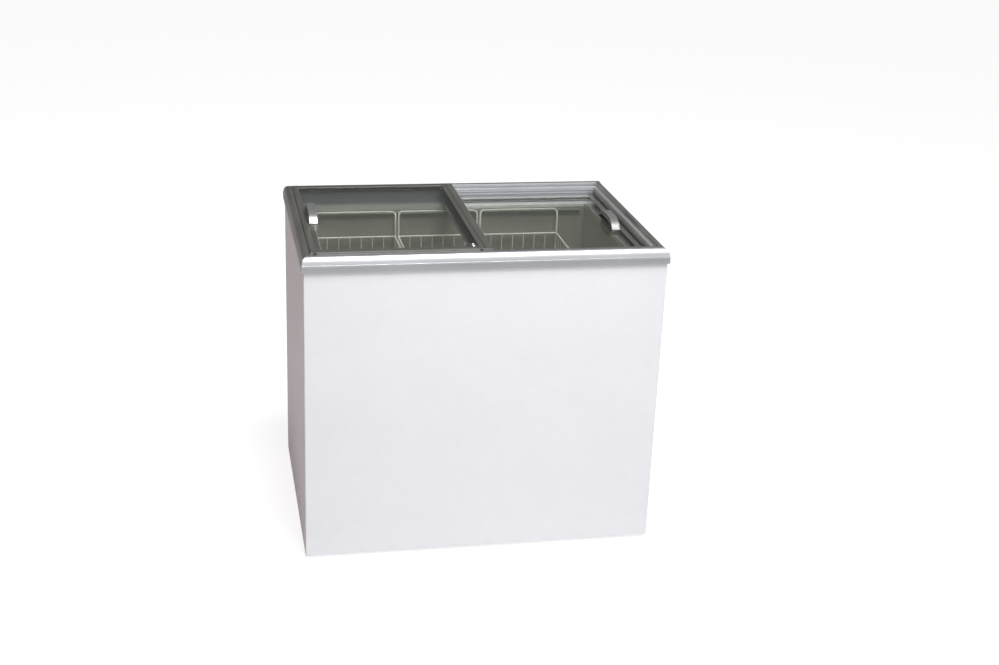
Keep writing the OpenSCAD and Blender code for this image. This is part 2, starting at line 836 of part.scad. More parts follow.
// A welded wire basket centred on x, hung on the ledges by its two hoops
module basket(x) {
    hx = basket_w / 2 - wire_r;
    hy = basket_y;
    low = basket_z - basket_h;
    bar = thin_wire / 2;
    translate([x, 0, 0]) {
        for (s = [-1, 1]) {
            translate([-hx, s * hy + bar, low]) rotate([90, 0, 0])
                linear_extrude(thin_wire) wire_grid(2 * hx, basket_h, [0, basket_h / 2]);
            translate([s * hx - bar, -hy, low]) rotate([90, 0, 90])
                linear_extrude(thin_wire) wire_grid(2 * hy, basket_h, [0, basket_h / 2]);
            translate([-hx, s * hy, basket_z]) rotate([0, 90, 0]) cylinder(r = wire_r, h = 2 * hx);
            translate([s * hx, -hy, basket_z]) rotate([-90, 0, 0]) cylinder(r = wire_r, h = 2 * hy);
            for (t = [-1, 1])
                translate([s * hx, t * hy, basket_z]) sphere(wire_r);
            mirror([0, s > 0 ? 1 : 0, 0]) hoop(hx);
        }
        translate([-hx, -hy, low]) linear_extrude(thin_wire)
            wire_grid(2 * hx, 2 * hy, [for (y = [0:66:2 * hy - 30]) y]);
    }
}

module basket_left() {
    color("#dfe2df") basket(basket_left_x);
}

module basket_middle() {
    color("#dfe2df") basket(basket_middle_x);
}

module basket_right() {
    color("#dfe2df") basket(basket_right_x);
}

outer_wrap();
rear_panel();
base_pan();
foam_block();
liner();
evaporator_coil();
condenser_coil();
compartment_wall();
liner_collar();
rim_front();
rim_rear();
rim_left();
rim_right();
track_front();
track_rear();
track_left();
track_right();
lock_keeper();
rim_screws();
basket_rail_front();
basket_rail_rear();
feet();
compressor_plate();
compressor_shell();
compressor_grommets();
compressor_bolts();
relay_cover();
filter_drier();
suction_line();
discharge_line();
rear_grille();
grille_screws();
thermostat_body();
thermostat_knob();
cord_gland();
drain_pipe();
drain_cap();
drain_plug();
upper_glass();
upper_front_rail();
upper_rear_rail();
upper_end_stile();
upper_meeting_stile();
upper_brush();
upper_handle();
upper_corner_blocks();
upper_glides();
lock_housing();
lock_barrel();
lower_glass();
lower_front_rail();
lower_rear_rail();
lower_end_stile();
lower_meeting_stile();
lower_handle();
lower_glides();
basket_left();
basket_middle();
basket_right();
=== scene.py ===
import math

import bmesh
import bpy
from mathutils import Matrix, Vector


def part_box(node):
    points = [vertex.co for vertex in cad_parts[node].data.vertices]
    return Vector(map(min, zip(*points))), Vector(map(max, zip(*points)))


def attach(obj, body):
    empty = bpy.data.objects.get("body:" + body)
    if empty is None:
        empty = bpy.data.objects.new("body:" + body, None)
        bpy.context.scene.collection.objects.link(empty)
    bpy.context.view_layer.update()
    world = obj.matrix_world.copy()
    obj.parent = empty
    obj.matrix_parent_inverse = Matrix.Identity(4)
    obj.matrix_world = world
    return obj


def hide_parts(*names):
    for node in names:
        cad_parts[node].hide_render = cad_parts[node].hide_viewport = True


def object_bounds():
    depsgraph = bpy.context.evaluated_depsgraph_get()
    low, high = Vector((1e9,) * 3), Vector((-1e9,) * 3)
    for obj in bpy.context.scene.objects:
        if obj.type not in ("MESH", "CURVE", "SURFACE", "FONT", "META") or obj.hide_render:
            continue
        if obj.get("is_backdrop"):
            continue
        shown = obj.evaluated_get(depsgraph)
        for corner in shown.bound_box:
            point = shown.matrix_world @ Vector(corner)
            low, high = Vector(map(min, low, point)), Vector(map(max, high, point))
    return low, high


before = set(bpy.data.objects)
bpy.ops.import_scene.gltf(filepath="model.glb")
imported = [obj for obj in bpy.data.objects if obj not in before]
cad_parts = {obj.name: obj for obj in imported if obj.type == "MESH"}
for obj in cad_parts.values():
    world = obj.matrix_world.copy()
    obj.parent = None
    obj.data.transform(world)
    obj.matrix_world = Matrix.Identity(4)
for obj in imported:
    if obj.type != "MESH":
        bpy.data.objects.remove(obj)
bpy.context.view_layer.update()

# ---------------------------------------------------------------------------------------------
# Camera, floor and studio light. The camera stands to the left of the front and looks down on
# the lids. The floor is a pale sweep of painted board, and the light comes from large soft boxes.
# ---------------------------------------------------------------------------------------------
scene = bpy.context.scene
scene.view_settings.view_transform = "Standard"

camera_turn, camera_tip, camera_roll = map(math.radians, (12.246, 20.701, -2.305))
ahead = Vector((math.sin(camera_turn) * math.cos(camera_tip),
                math.cos(camera_turn) * math.cos(camera_tip), -math.sin(camera_tip)))
across = Vector((math.cos(camera_turn), -math.sin(camera_turn), 0))
below = ahead.cross(across)
image_x = across * math.cos(camera_roll) + below * math.sin(camera_roll)
image_y = across * math.sin(camera_roll) - below * math.cos(camera_roll)

camera_data = bpy.data.cameras.new("camera")
camera_data.lens, camera_data.sensor_width = 53.59, 36
camera = bpy.data.objects.new("camera", camera_data)
camera.matrix_world = (Matrix.Translation((-0.7753, -4.0895, 2.1037))
                       @ Matrix((image_x, image_y, -ahead)).transposed().to_4x4())
scene.collection.objects.link(camera)
scene.camera = camera


def linear(colour):
    """An sRGB hex colour as linear red, green, blue and alpha."""
    parts = [int(colour[i:i + 2], 16) / 255 for i in (1, 3, 5)]
    return (*[c / 12.92 if c <= 0.04045 else ((c + 0.055) / 1.055) ** 2.4 for c in parts], 1.0)


def add(tree, kind, inputs=None, **settings):
    """Adds a node with its settings. An input is a value, or the output that feeds it."""
    made = tree.nodes.new(kind)
    for name, value in settings.items():
        setattr(made, name, value)
    for name, value in (inputs or {}).items():
        if isinstance(value, bpy.types.NodeSocket):
            tree.links.new(value, made.inputs[name])
        else:
            made.inputs[name].default_value = value
    return made


def soft_box(name, place, aim, size, power, colour="#ffffff"):
    """A square studio soft box at a place, turned to face a point."""
    data = bpy.data.lights.new(name, "AREA")
    data.size, data.energy, data.color = size, power, linear(colour)[:3]
    box = bpy.data.objects.new(name, data)
    box.location = place
    box.rotation_euler = (Vector(aim) - Vector(place)).to_track_quat("-Z", "Y").to_euler()
    scene.collection.objects.link(box)


soft_box("top_box", (0.3, -1.2, 4.1), (0, 0.1, 0.5), 1.7, 215)
soft_box("left_box", (-4.6, 0.2, 2.2), (0, 0, 0.7), 2.0, 13, "#ff5a4c")

# The room is bright in front, dark overhead and behind, and dim to the left
world = bpy.data.worlds.new("studio")
scene.world = world
world.use_nodes = True
room = world.node_tree
room.nodes.clear()
direction = add(room, "ShaderNodeSeparateXYZ",
                {"Vector": add(room, "ShaderNodeTexCoord").outputs["Generated"]})
to_back = add(room, "ShaderNodeMapRange",
              {"Value": direction.outputs["Y"], "From Min": -0.35, "From Max": 0.1})
to_left = add(room, "ShaderNodeMapRange",
              {"Value": direction.outputs["X"], "From Min": -0.35, "From Max": -0.7})
depth = add(room, "ShaderNodeMixRGB", {"Fac": to_back.outputs["Result"], "Color1": linear("#f8f7f8"),
                                       "Color2": linear("#676968")})
walls = add(room, "ShaderNodeMixRGB", {"Fac": to_left.outputs["Result"],
                                       "Color1": depth.outputs["Color"], "Color2": linear("#584a48")})
room_light = add(room, "ShaderNodeBackground", {"Color": walls.outputs["Color"], "Strength": 1.1})
add(room, "ShaderNodeOutputWorld", {"Surface": room_light.outputs["Background"]})


def blank(name, **values):
    """A new material with one principled shader: returns the material, its tree and the shader."""
    material = bpy.data.materials.new(name)
    material.use_nodes = True
    tree = material.node_tree
    tree.nodes.clear()
    shader = add(tree, "ShaderNodeBsdfPrincipled", {k.replace("_", " "): v for k, v in values.items()})
    add(tree, "ShaderNodeOutputMaterial", {"Surface": shader.outputs["BSDF"]})
    return material, tree, shader


def mottled(name, light, dark, grain_mm, roughness, relief_mm, stretch=(1, 1, 1), detail=3.0, **values):
    """A finish with the faint cloudiness, uneven gloss and fine relief that a real one has.

    Its colours run from light to dark, its grain is so many millimetres across, its roughness
    runs between two values, and stretch draws the grain out along an axis.
    """
    material, tree, shader = blank(name, **values)
    place = add(tree, "ShaderNodeTexCoord").outputs["Object"]
    drawn = add(tree, "ShaderNodeMapping", {"Vector": place, "Scale": stretch}).outputs["Vector"]
    grain = add(tree, "ShaderNodeTexNoise",
                {"Vector": drawn, "Scale": 1000 / grain_mm, "Detail": detail, "Roughness": 0.6})
    cloud = add(tree, "ShaderNodeTexNoise", {"Vector": place, "Scale": 6.0, "Detail": 2.0})
    both = add(tree, "ShaderNodeMath", {0: grain.outputs["Fac"], 1: cloud.outputs["Fac"]},
               operation="ADD")
    tone = add(tree, "ShaderNodeValToRGB", {"Fac": add(
        tree, "ShaderNodeMapRange", {"Value": both.outputs["Value"], "From Min": 0.6, "From Max": 1.4}
    ).outputs["Result"]})
    tone.color_ramp.elements[0].color = linear(dark)
    tone.color_ramp.elements[1].color = linear(light)
    gloss = add(tree, "ShaderNodeMapRange",
                {"Value": grain.outputs["Fac"], "From Min": 0.3, "From Max": 0.7,
                 "To Min": roughness[0], "To Max": roughness[1]})
    relief = add(tree, "ShaderNodeBump", {"Height": grain.outputs["Fac"], "Strength": 0.6,
                                          "Distance": relief_mm / 1000})
    tree.links.new(tone.outputs["Color"], shader.inputs["Base Color"])
    tree.links.new(gloss.outputs["Result"], shader.inputs["Roughness"])
    tree.links.new(relief.outputs["Normal"], shader.inputs["Normal"])
    return material


# Painted board: matt white with a very faint cloudiness, lit from within where the camera sees it
board = mottled("matt_white_board", "#9a9a9a", "#979797", 90, (0.8, 0.9), 0.02,
                Emission_Color=linear("#ffffff"))
tree = board.node_tree
seen = add(tree, "ShaderNodeLightPath").outputs["Is Camera Ray"]
glow = add(tree, "ShaderNodeMapRange", {"Value": seen, "To Min": 0.2, "To Max": 0.8})
tree.links.new(glow.outputs["Result"], tree.nodes["Principled BSDF"].inputs["Emission Strength"])
board_mesh = bmesh.new()
bmesh.ops.create_grid(board_mesh, x_segments=2, y_segments=2, size=30)
floor_mesh = bpy.data.meshes.new("floor")
board_mesh.to_mesh(floor_mesh)
board_mesh.free()
floor_mesh.materials.append(board)
floor = bpy.data.objects.new("floor", floor_mesh)
floor.location.z = -0.0005
scene.collection.objects.link(floor)
floor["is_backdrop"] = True

# ---------------------------------------------------------------------------------------------
# Outer wrap: the front and both sides, folded from one sheet of pre-painted steel 0.8 mm thick.
# The two front corners are bent to a small radius and the lower edge is hemmed inwards.
# ---------------------------------------------------------------------------------------------
MM = 0.001
half_w, half_d, panel_low, panel_top = 500, 365, 8, 868
sheet, corner_bend, hem = 0.8, 3.0, 14

# Polyester painted steel: smooth and semi-gloss, with an orange peel too fine to see singly
white_paint = mottled("polyester_painted_steel", "#e4e5e9", "#e0e1e5", 22, (0.33, 0.42), 0.03, IOR=1.5)


def piece(name, bm, material, body, finish, *nodes, place=None, edge=0.0, smooth=35):
    """Turns a millimetre bmesh into a finished piece of the model that stands for those CAD nodes.

    It is shaded smooth below an angle in degrees, and edge rounds its sharp edges by so many mm.
    """
    bmesh.ops.transform(bm, matrix=Matrix.Scale(MM, 4) @ (place or Matrix.Identity(4)), verts=bm.verts)
    mesh = bpy.data.meshes.new(name)
    bm.edges.index_update()
    open_edges = [e.index for e in bm.edges if e.is_boundary]
    bm.to_mesh(mesh)
    bm.free()
    mesh.materials.append(material)
    mesh.shade_smooth()
    mesh.set_sharp_from_angle(angle=math.radians(smooth))
    for i in open_edges:
        mesh.edges[i].use_edge_sharp = True
    made = bpy.data.objects.new(name, mesh)
    scene.collection.objects.link(made)
    if edge:
        rounding = made.modifiers.new("edges", "BEVEL")
        rounding.width, rounding.segments = edge * MM, 2
        rounding.limit_method, rounding.angle_limit = "ANGLE", math.radians(40)
    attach(made, body)
    if nodes:
        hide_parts(*nodes)
    return made


wrap = bmesh.new()
bmesh.ops.create_cube(wrap, size=1)
bmesh.ops.scale(wrap, vec=(2 * half_w, 2 * half_d - sheet, panel_top - panel_low), verts=wrap.verts)
bmesh.ops.translate(wrap, vec=(0, -sheet / 2, (panel_top + panel_low) / 2), verts=wrap.verts)
bmesh.ops.delete(wrap, geom=[f for f in wrap.faces if abs(f.normal.z) > 0.5 or f.normal.y > 0.5],
                 context="FACES")
front_corners = [e for e in wrap.edges if len(e.link_faces) == 2]
bmesh.ops.bevel(wrap, geom=front_corners, offset=corner_bend, offset_type="OFFSET", segments=5,
                profile=0.5, affect="EDGES", material=-1)
lower_edge = [e for e in wrap.edges if all(v.co.z < panel_low + 1 for v in e.verts)]
folded = bmesh.ops.extrude_edge_only(wrap, edges=lower_edge)
for v in [g for g in folded["geom"] if isinstance(g, bmesh.types.BMVert)]:
    v.co.x -= math.copysign(hem, v.co.x)
    if v.co.y < 0:
        v.co.y = max(v.co.y, -half_d) + hem
bmesh.ops.recalc_face_normals(wrap, faces=wrap.faces)
outer_wrap = piece("outer_wrap_sheet", wrap, white_paint, "cabinet", "white_panel", "outer_wrap")
thickness = outer_wrap.modifiers.new("sheet", "SOLIDIFY")
thickness.thickness, thickness.offset = sheet * MM, -1

# ---------------------------------------------------------------------------------------------
# Rear panel, base pan and compartment wall: plain sheet parts that close the cabinet's back and
# floor and keep the foam out of the compressor's space. The pan and wall are galvanised.
# ---------------------------------------------------------------------------------------------


def dress(material, *nodes):
    """Gives CAD nodes a finish."""
    for n in nodes:
        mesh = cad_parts[n].data
        mesh.materials.clear()
        mesh.materials.append(material)


# The back is the same painted steel with a duller coat
back_paint = mottled("dull_painted_steel", "#d6d7d9", "#cdced1", 18, (0.42, 0.52), 0.04, IOR=1.5)
dress(back_paint, "rear_panel")

# Hot-dip galvanised steel: crystals of zinc 10 to 15 mm across that differ in brightness
galvanised, tree, shader = blank("galvanised_steel", Metallic=1.0)
place = add(tree, "ShaderNodeTexCoord").outputs["Object"]
crystals = add(tree, "ShaderNodeTexVoronoi", {"Vector": place, "Scale": 80.0})
spangle = add(tree, "ShaderNodeValToRGB", {"Fac": crystals.outputs["Color"]})
spangle.color_ramp.elements[0].color = linear("#8f9496")
spangle.color_ramp.elements[1].color = linear("#b7bcbe")
dullness = add(tree, "ShaderNodeMapRange", {"Value": crystals.outputs["Distance"], "To Min": 0.35,
                                            "To Max": 0.6})
tree.links.new(spangle.outputs["Color"], shader.inputs["Base Color"])
tree.links.new(dullness.outputs["Result"], shader.inputs["Roughness"])
dress(galvanised, "base_pan", "compartment_wall", "compressor_plate")

# ---------------------------------------------------------------------------------------------
# Foam and refrigerant tubes: polyurethane poured between the sheets round the cold tube on the
# tank and the warm tube behind the outer panels. None of it shows on a whole cabinet.
# ---------------------------------------------------------------------------------------------

# Rigid polyurethane foam: straw coloured, with small open cells where it has been cut
foam = mottled("polyurethane_foam", "#e8dba9", "#d3c288", 1.5, (0.85, 0.95), 0.4)
dress(foam, "foam_block")

# Drawn copper tube: warm metal with long draw marks and brown tarnish
copper = mottled("drawn_copper", "#d18b66", "#8c5336", 5, (0.25, 0.45), 0.02, Metallic=1.0)
dress(copper, "evaporator_coil", "condenser_coil", "suction_line", "discharge_line", "filter_drier")

# ---------------------------------------------------------------------------------------------
# Tank: a liner folded and welded from stucco-embossed aluminium, with small radii along its
# corners and a raised floor over the compressor. Frost clings to the walls at the cold tube.
# ---------------------------------------------------------------------------------------------
tank_x, tank_y, tank_floor, tank_top = 434, 299, 78, 838.5
step_x, step_floor, tank_corner = 202, 296, 9

# Stucco-embossed aluminium: pebbled facets about 4 mm across, satin, with a film of frost
embossed, tree, shader = blank("stucco_embossed_aluminium", Metallic=0.4, Specular_IOR_Level=0.4)
place = add(tree, "ShaderNodeTexCoord").outputs["Object"]
pebbles = add(tree, "ShaderNodeTexVoronoi", {"Vector": place, "Scale": 210.0}, feature="SMOOTH_F1")
height = add(tree, "ShaderNodeSeparateXYZ", {"Vector": place}).outputs["Z"]
frost_band = add(tree, "ShaderNodeMapRange", {"Value": height, "From Min": 0.80, "From Max": 0.70})
frost_grain = add(tree, "ShaderNodeTexNoise", {"Vector": place, "Scale": 150.0, "Detail": 4.0,
                                               "Roughness": 0.75})
frost_patch = add(tree, "ShaderNodeTexNoise", {"Vector": place, "Scale": 5.0, "Detail": 2.0})
patch = add(tree, "ShaderNodeMapRange", {"Value": frost_patch.outputs["Fac"], "From Min": 0.48,
                                         "From Max": 0.68, "To Max": 0.8})
crystals = add(tree, "ShaderNodeMapRange", {"Value": frost_grain.outputs["Fac"], "From Min": 0.5,
                                            "From Max": 0.62})
frosted = add(tree, "ShaderNodeMath", {0: patch.outputs["Result"], 1: crystals.outputs["Result"]},
              operation="MULTIPLY")
frost = add(tree, "ShaderNodeMath", {0: frosted.outputs["Value"], 1: frost_band.outputs["Result"]},
            operation="MULTIPLY")
tone = add(tree, "ShaderNodeValToRGB", {"Fac": frost.outputs["Value"]})
tone.color_ramp.elements[0].color = linear("#b3b2ab")
tone.color_ramp.elements[1].color = linear("#e6e6e1")
dullness = add(tree, "ShaderNodeMapRange", {"Value": frost.outputs["Value"], "To Min": 0.42,
                                            "To Max": 0.85})
relief = add(tree, "ShaderNodeBump", {"Height": pebbles.outputs["Distance"], "Strength": 0.5,
                                      "Distance": 0.0006})
tree.links.new(tone.outputs["Color"], shader.inputs["Base Color"])
tree.links.new(dullness.outputs["Result"], shader.inputs["Roughness"])
tree.links.new(relief.outputs["Normal"], shader.inputs["Normal"])

tank = bmesh.new()
side_view = [(-tank_x, tank_floor), (step_x, tank_floor), (step_x, step_floor), (tank_x, step_floor),
             (tank_x, tank_top), (-tank_x, tank_top)]
tank.faces.new([tank.verts.new((x, -tank_y, z)) for x, z in side_view])
rear_side = bmesh.ops.extrude_face_region(tank, geom=tank.faces[:])
bmesh.ops.translate(tank, vec=(0, 2 * tank_y, 0),
                    verts=[g for g in rear_side["geom"] if isinstance(g, bmesh.types.BMVert)])
bmesh.ops.recalc_face_normals(tank, faces=tank.faces)
bmesh.ops.delete(tank, geom=[f for f in tank.faces if f.calc_center_median().z > tank_top - 1],
                 context="FACES")
# The raised floor's nose is a sharp fold
step_nose = [e for e in tank.edges if all(abs(v.co.x - step_x) < 1 and abs(v.co.z - step_floor) < 1
                                          for v in e.verts)]
bmesh.ops.bevel(tank, geom=[e for e in tank.edges if len(e.link_faces) == 2 and e not in step_nose],
                offset=tank_corner, offset_type="OFFSET", segments=4, profile=0.5, affect="EDGES",
                material=-1)
liner = piece("tank_liner", tank, embossed, "cabinet", "tank_sheet", "liner", smooth=50)
thickness = liner.modifiers.new("sheet", "SOLIDIFY")
thickness.thickness, thickness.offset = sheet * MM, 1

# ---------------------------------------------------------------------------------------------
# Collar: a moulded plastic trim that clips over the tank's top edge and seals it to the tracks.
# ---------------------------------------------------------------------------------------------

# Cool white styrene: satin, moulded
styrene = mottled("satin_white_styrene", "#c3c8c3", "#b7bdb7", 3, (0.4, 0.5), 0.03, IOR=1.55)


def softened(name, node, material, body, finish, edge, smooth=40):
    """A merged copy of a CAD node with its edges rounded, which stands for the node."""
    bm = bmesh.new()
    bm.from_mesh(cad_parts[node].data)
    bmesh.ops.remove_doubles(bm, verts=bm.verts, dist=1e-6)
    bmesh.ops.dissolve_limit(bm, angle_limit=math.radians(1), verts=bm.verts, edges=bm.edges)
    bmesh.ops.scale(bm, vec=(1 / MM, 1 / MM, 1 / MM), verts=bm.verts)
    return piece(name, bm, material, body, finish, node, edge=edge, smooth=smooth)


softened("tank_collar", "liner_collar", styrene, "cabinet", "white_plastic", 0.5)

# ---------------------------------------------------------------------------------------------
# Rim caps: four aluminium extrusions with a rounded outer edge, brushed along their length,
# satin anodised and mitred at the corners. They clip down over the tracks.
# ---------------------------------------------------------------------------------------------
rim_x, rim_y, rim_z, top_z = 505, 370, 850, 892
cap_wall, band_high, band_proud, cap_lean, cap_bend = 2, 20, 0.9, math.radians(14), 15.6
upper_track, lower_track = 879, 841.5
long_tread, end_tread, bead_tops = (33, 49, 71), (25, 37, 71), (873, 865)

# Satin anodised aluminium: straight brush lines, drawn at 2 mm so that they show, in a pale skin
cap_along_x = mottled("brushed_anodised_aluminium_long", "#cfd1d4", "#bdbfc2", 2.0, (0.30, 0.42), 0.01,
                      stretch=(0.01, 1, 1), Metallic=1.0)
# The end caps' copy has a darker, warmer base than the long caps': painted shade
cap_shaded_along_y = mottled("brushed_anodised_aluminium_end_painted_shade", "#bebdba", "#aaa9a6", 2.0, (0.34, 0.46), 0.01,
                      stretch=(1, 0.01, 1), Metallic=1.0)


def drawn_bar(corners, start, stop, cut_back=None):
    """An extrusion along X. Its section's corners are (y, z, radius), all in millimetres.

    cut_back says how far each end is cut back at a distance y in from the outer face.
    """
    bm = bmesh.new()
    made = [bm.verts.new((start, y, z)) for y, z, _ in corners]
    bm.faces.new(made)
    for v, (_, _, radius) in zip(made, corners):
        if radius:
            bmesh.ops.bevel(bm, geom=[v], offset=radius, offset_type="OFFSET", profile=0.5,
                            segments=10 if radius > 5 else 2, affect="VERTICES", material=-1)
    far = bmesh.ops.extrude_face_region(bm, geom=bm.faces[:])
    ends = {v for v in far["geom"] if isinstance(v, bmesh.types.BMVert)}
    bmesh.ops.translate(bm, verts=list(ends), vec=(stop - start, 0, 0))
    if cut_back:
        for v in bm.verts:
            v.co.x += -cut_back(v.co.y) if v in ends else cut_back(v.co.y)
    bmesh.ops.recalc_face_normals(bm, faces=bm.faces)
    return bm


def mitre(tread, other):
    """How far an end is cut back at a distance in, where treads of different widths meet."""
    def cut_back(y):
        if y <= tread[1]:
            return y * other[1] / tread[1]
        return other[1] + (y - tread[1]) * (other[2] - other[1]) / (tread[2] - tread[1])
    return cut_back


def rim_cap(tread, other, length):
    """One cap: its proud band, leaning and rounded edge, top flat, and the lip on the track."""
    flat, inner, ledge = tread[0], top_z - cap_wall, rim_z + band_high
    lean = (top_z - ledge) * math.tan(cap_lean)
    foot = band_proud + cap_wall
    return drawn_bar([
        (0, rim_z, 0.4), (0, ledge, 0.2), (band_proud, ledge, 0), (band_proud + lean, top_z, cap_bend),
        (flat, top_z, 0.8), (flat, upper_track, 0), (flat - cap_wall, upper_track, 0),
        (flat - cap_wall, inner, 0), (foot + lean, inner, cap_bend - cap_wall),
        (foot, ledge - cap_wall, 0), (cap_wall, ledge - cap_wall, 0),
        (cap_wall, rim_z, 0.4)], -length, length, mitre(tread, other))


def turned(angle, offset):
    """Places a side of the rim: out by its offset and turned round the cabinet's middle."""
    return Matrix.Rotation(math.radians(angle), 4, "Z") @ Matrix.Translation((0, -offset, 0))


sides = (("front", 0, rim_y, rim_x, long_tread, end_tread),
         ("rear", 180, rim_y, rim_x, long_tread, end_tread),
         ("left", 270, rim_x, rim_y, end_tread, long_tread),
         ("right", 90, rim_x, rim_y, end_tread, long_tread))
for side, angle, offset, length, tread, other in sides:
    # The end caps take the copy with painted shade
    metal = cap_along_x if length == rim_x else cap_shaded_along_y
    piece(f"rim_cap_{side}", rim_cap(tread, other, length), metal, "cabinet", "rim_aluminium",
          f"rim_{side}", place=turned(angle, offset), smooth=30)

# ---------------------------------------------------------------------------------------------
# Tracks: four stepped vinyl extrusions under the caps. The upper lid runs on the higher tread,
# the lower lid on the lower one, and two beads stiffen the wall between them.
# ---------------------------------------------------------------------------------------------

# Grey vinyl: satin, with a faint drag from the die along its length
vinyl_along_x = mottled("grey_vinyl_long", "#84868a", "#76787c", 3.0, (0.35, 0.48), 0.02,
                        stretch=(0.02, 1, 1), IOR=1.53)
# The end tracks' copy is darker than the long tracks': painted shade
vinyl_shaded_along_y = mottled("grey_vinyl_end_painted_shade", "#747575", "#666767", 3.0, (0.35, 0.48), 0.02,
                        stretch=(1, 0.02, 1), IOR=1.53)


def track(tread, other, length):
    """One track: flange, upper tread, beaded wall and lower tread."""
    under, wall = cap_wall, tread[1]
    beads = []
    for z in bead_tops:
        beads += [(wall, z, 0), (wall + 1.1, z - 0.8, 0.3), (wall + 1.1, z - 2.2, 0.3), (wall, z - 3, 0)]
    return drawn_bar([
        (tread[0] - 8, upper_track - under, 0), (tread[0] - 8, upper_track, 0),
        (wall - 0.8, upper_track, 0.4),
        *beads, (wall, lower_track, 0), (tread[2], lower_track, 0.6),
        (tread[2], lower_track - under, 0), (wall - under, lower_track - under, 0),
        (wall - under, upper_track - under, 0)],
        -length, length, mitre(tread, other))


for side, angle, offset, length, tread, other in sides:
    vinyl = vinyl_along_x if length == rim_x else vinyl_shaded_along_y
    piece(f"track_{side}_profile", track(tread, other, length), vinyl, "cabinet", "track_plastic",
          f"track_{side}", place=turned(angle, offset), smooth=30)

# ---------------------------------------------------------------------------------------------
# Fixings and small steel parts: zinc plated countersunk screws in the tracks and the grille,
# and the stop that the lock's cam turns against.
# ---------------------------------------------------------------------------------------------

# Zinc plate: bright blue-grey, slightly clouded
zinc = mottled("zinc_plated_steel", "#b9bdc0", "#93989b", 2, (0.28, 0.42), 0.01, Metallic=1.0)
for node in ("rim_screws", "grille_screws", "lock_keeper"):
    softened(node + "_zinc", node, zinc, "cabinet", "screw_steel", 0.3)

# ---------------------------------------------------------------------------------------------
# Basket ledges: thin anodised aluminium angles along the front and rear walls of the tank.
# ---------------------------------------------------------------------------------------------

# Anodised aluminium: pale, with a faint grain along its length
ledge_metal = mottled("anodised_aluminium_angle", "#b6bbb4", "#a7aca5", 2.5, (0.35, 0.45), 0.01,
                      stretch=(0.02, 1, 1), Metallic=0.7)
for node in ("basket_rail_front", "basket_rail_rear"):
    softened(node + "_angle", node, ledge_metal, "cabinet", "ledge_aluminium", 0.3)

# ---------------------------------------------------------------------------------------------
# Lid frames: hollow aluminium bars round each pane, rounded on top. The upper lid is anodised
# dark grey and its wide meeting bar carries two grooves and a skirt; the lower lid is silver.
# ---------------------------------------------------------------------------------------------
bar_height, lip, channel, glass_low = 14, 1.6, 8, 8.4
rail_w, end_w, upper_meeting_w, lower_meeting_w, skirt_height, skirt_thick = 24, 17, 35, 30, 21, 2

# Dark anodised aluminium: satin, warm grey, brushed along each bar
dark_along_x = mottled("dark_anodised_aluminium_rail", "#868581", "#767571", 2.0, (0.36, 0.5), 0.01,
                       stretch=(0.01, 1, 1), Metallic=0.9)
# The stiles' copy is a little paler than the rails': painted light
dark_lit_along_y = mottled("dark_anodised_aluminium_stile_painted_light", "#8f8e89", "#7f7e79", 2.0, (0.36, 0.5), 0.01,
                       stretch=(1, 0.01, 1), Metallic=0.9)
# Silver anodised aluminium: paler than the dark, brushed the same way. The rails' copy is much paler than
# the stiles': painted light on the rails and painted shade on the stiles
silver_lit_along_x = mottled("silver_anodised_aluminium_rail_painted_light", "#cdd0ce", "#bbbfbd", 2.0, (0.34, 0.46), 0.01,
                         stretch=(0.01, 1, 1), Metallic=0.9)
silver_shaded_along_y = mottled("silver_anodised_aluminium_stile_painted_shade", "#9fa09c", "#8f908c", 2.0, (0.34, 0.46), 0.01,
                         stretch=(1, 0.01, 1), Metallic=0.9)


def frame_bar(width, start, stop, grooves=()):
    """A lid bar from its outer edge to the lips that hold the glass, with grooves along its top."""
    box = width - channel
    top = [(0, bar_height, 2.0)]
    for y in grooves:
        top += [(y, bar_height, 0), (y, bar_height - 1.2, 0), (y + 2, bar_height - 1.2, 0),
                (y + 2, bar_height, 0)]
    return drawn_bar([
        (0, 0, 0.8), *top, (width, bar_height, 1.0), (width, bar_height - lip, 0),
        (box, bar_height - lip, 0), (box, glass_low, 0), (width, glass_low, 0.3),
        (width, glass_low - lip, 0.3), (box, glass_low - lip, 0), (box, 0, 0.6)], start, stop)


def bar_at(node, side):
    """Turns a bar drawn along X so that it lies along one side of a lid, where its CAD node is."""
    low, high = (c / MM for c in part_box(node))
    if side in ("front", "rear"):
        y = low.y if side == "front" else high.y
        flip = 1 if side == "front" else -1
        return Matrix.Translation((0, y, low.z)) @ Matrix.Diagonal((1, flip, 1, 1)), low.x, high.x
    x, flip = (low.x, -1) if side == "left" else (high.x, 1)
    turn = Matrix.Rotation(math.radians(90), 4, "Z")
    return Matrix.Translation((x, 0, 0)) @ Matrix.Diagonal((flip, 1, 1, 1)) @ turn, low.y, high.y


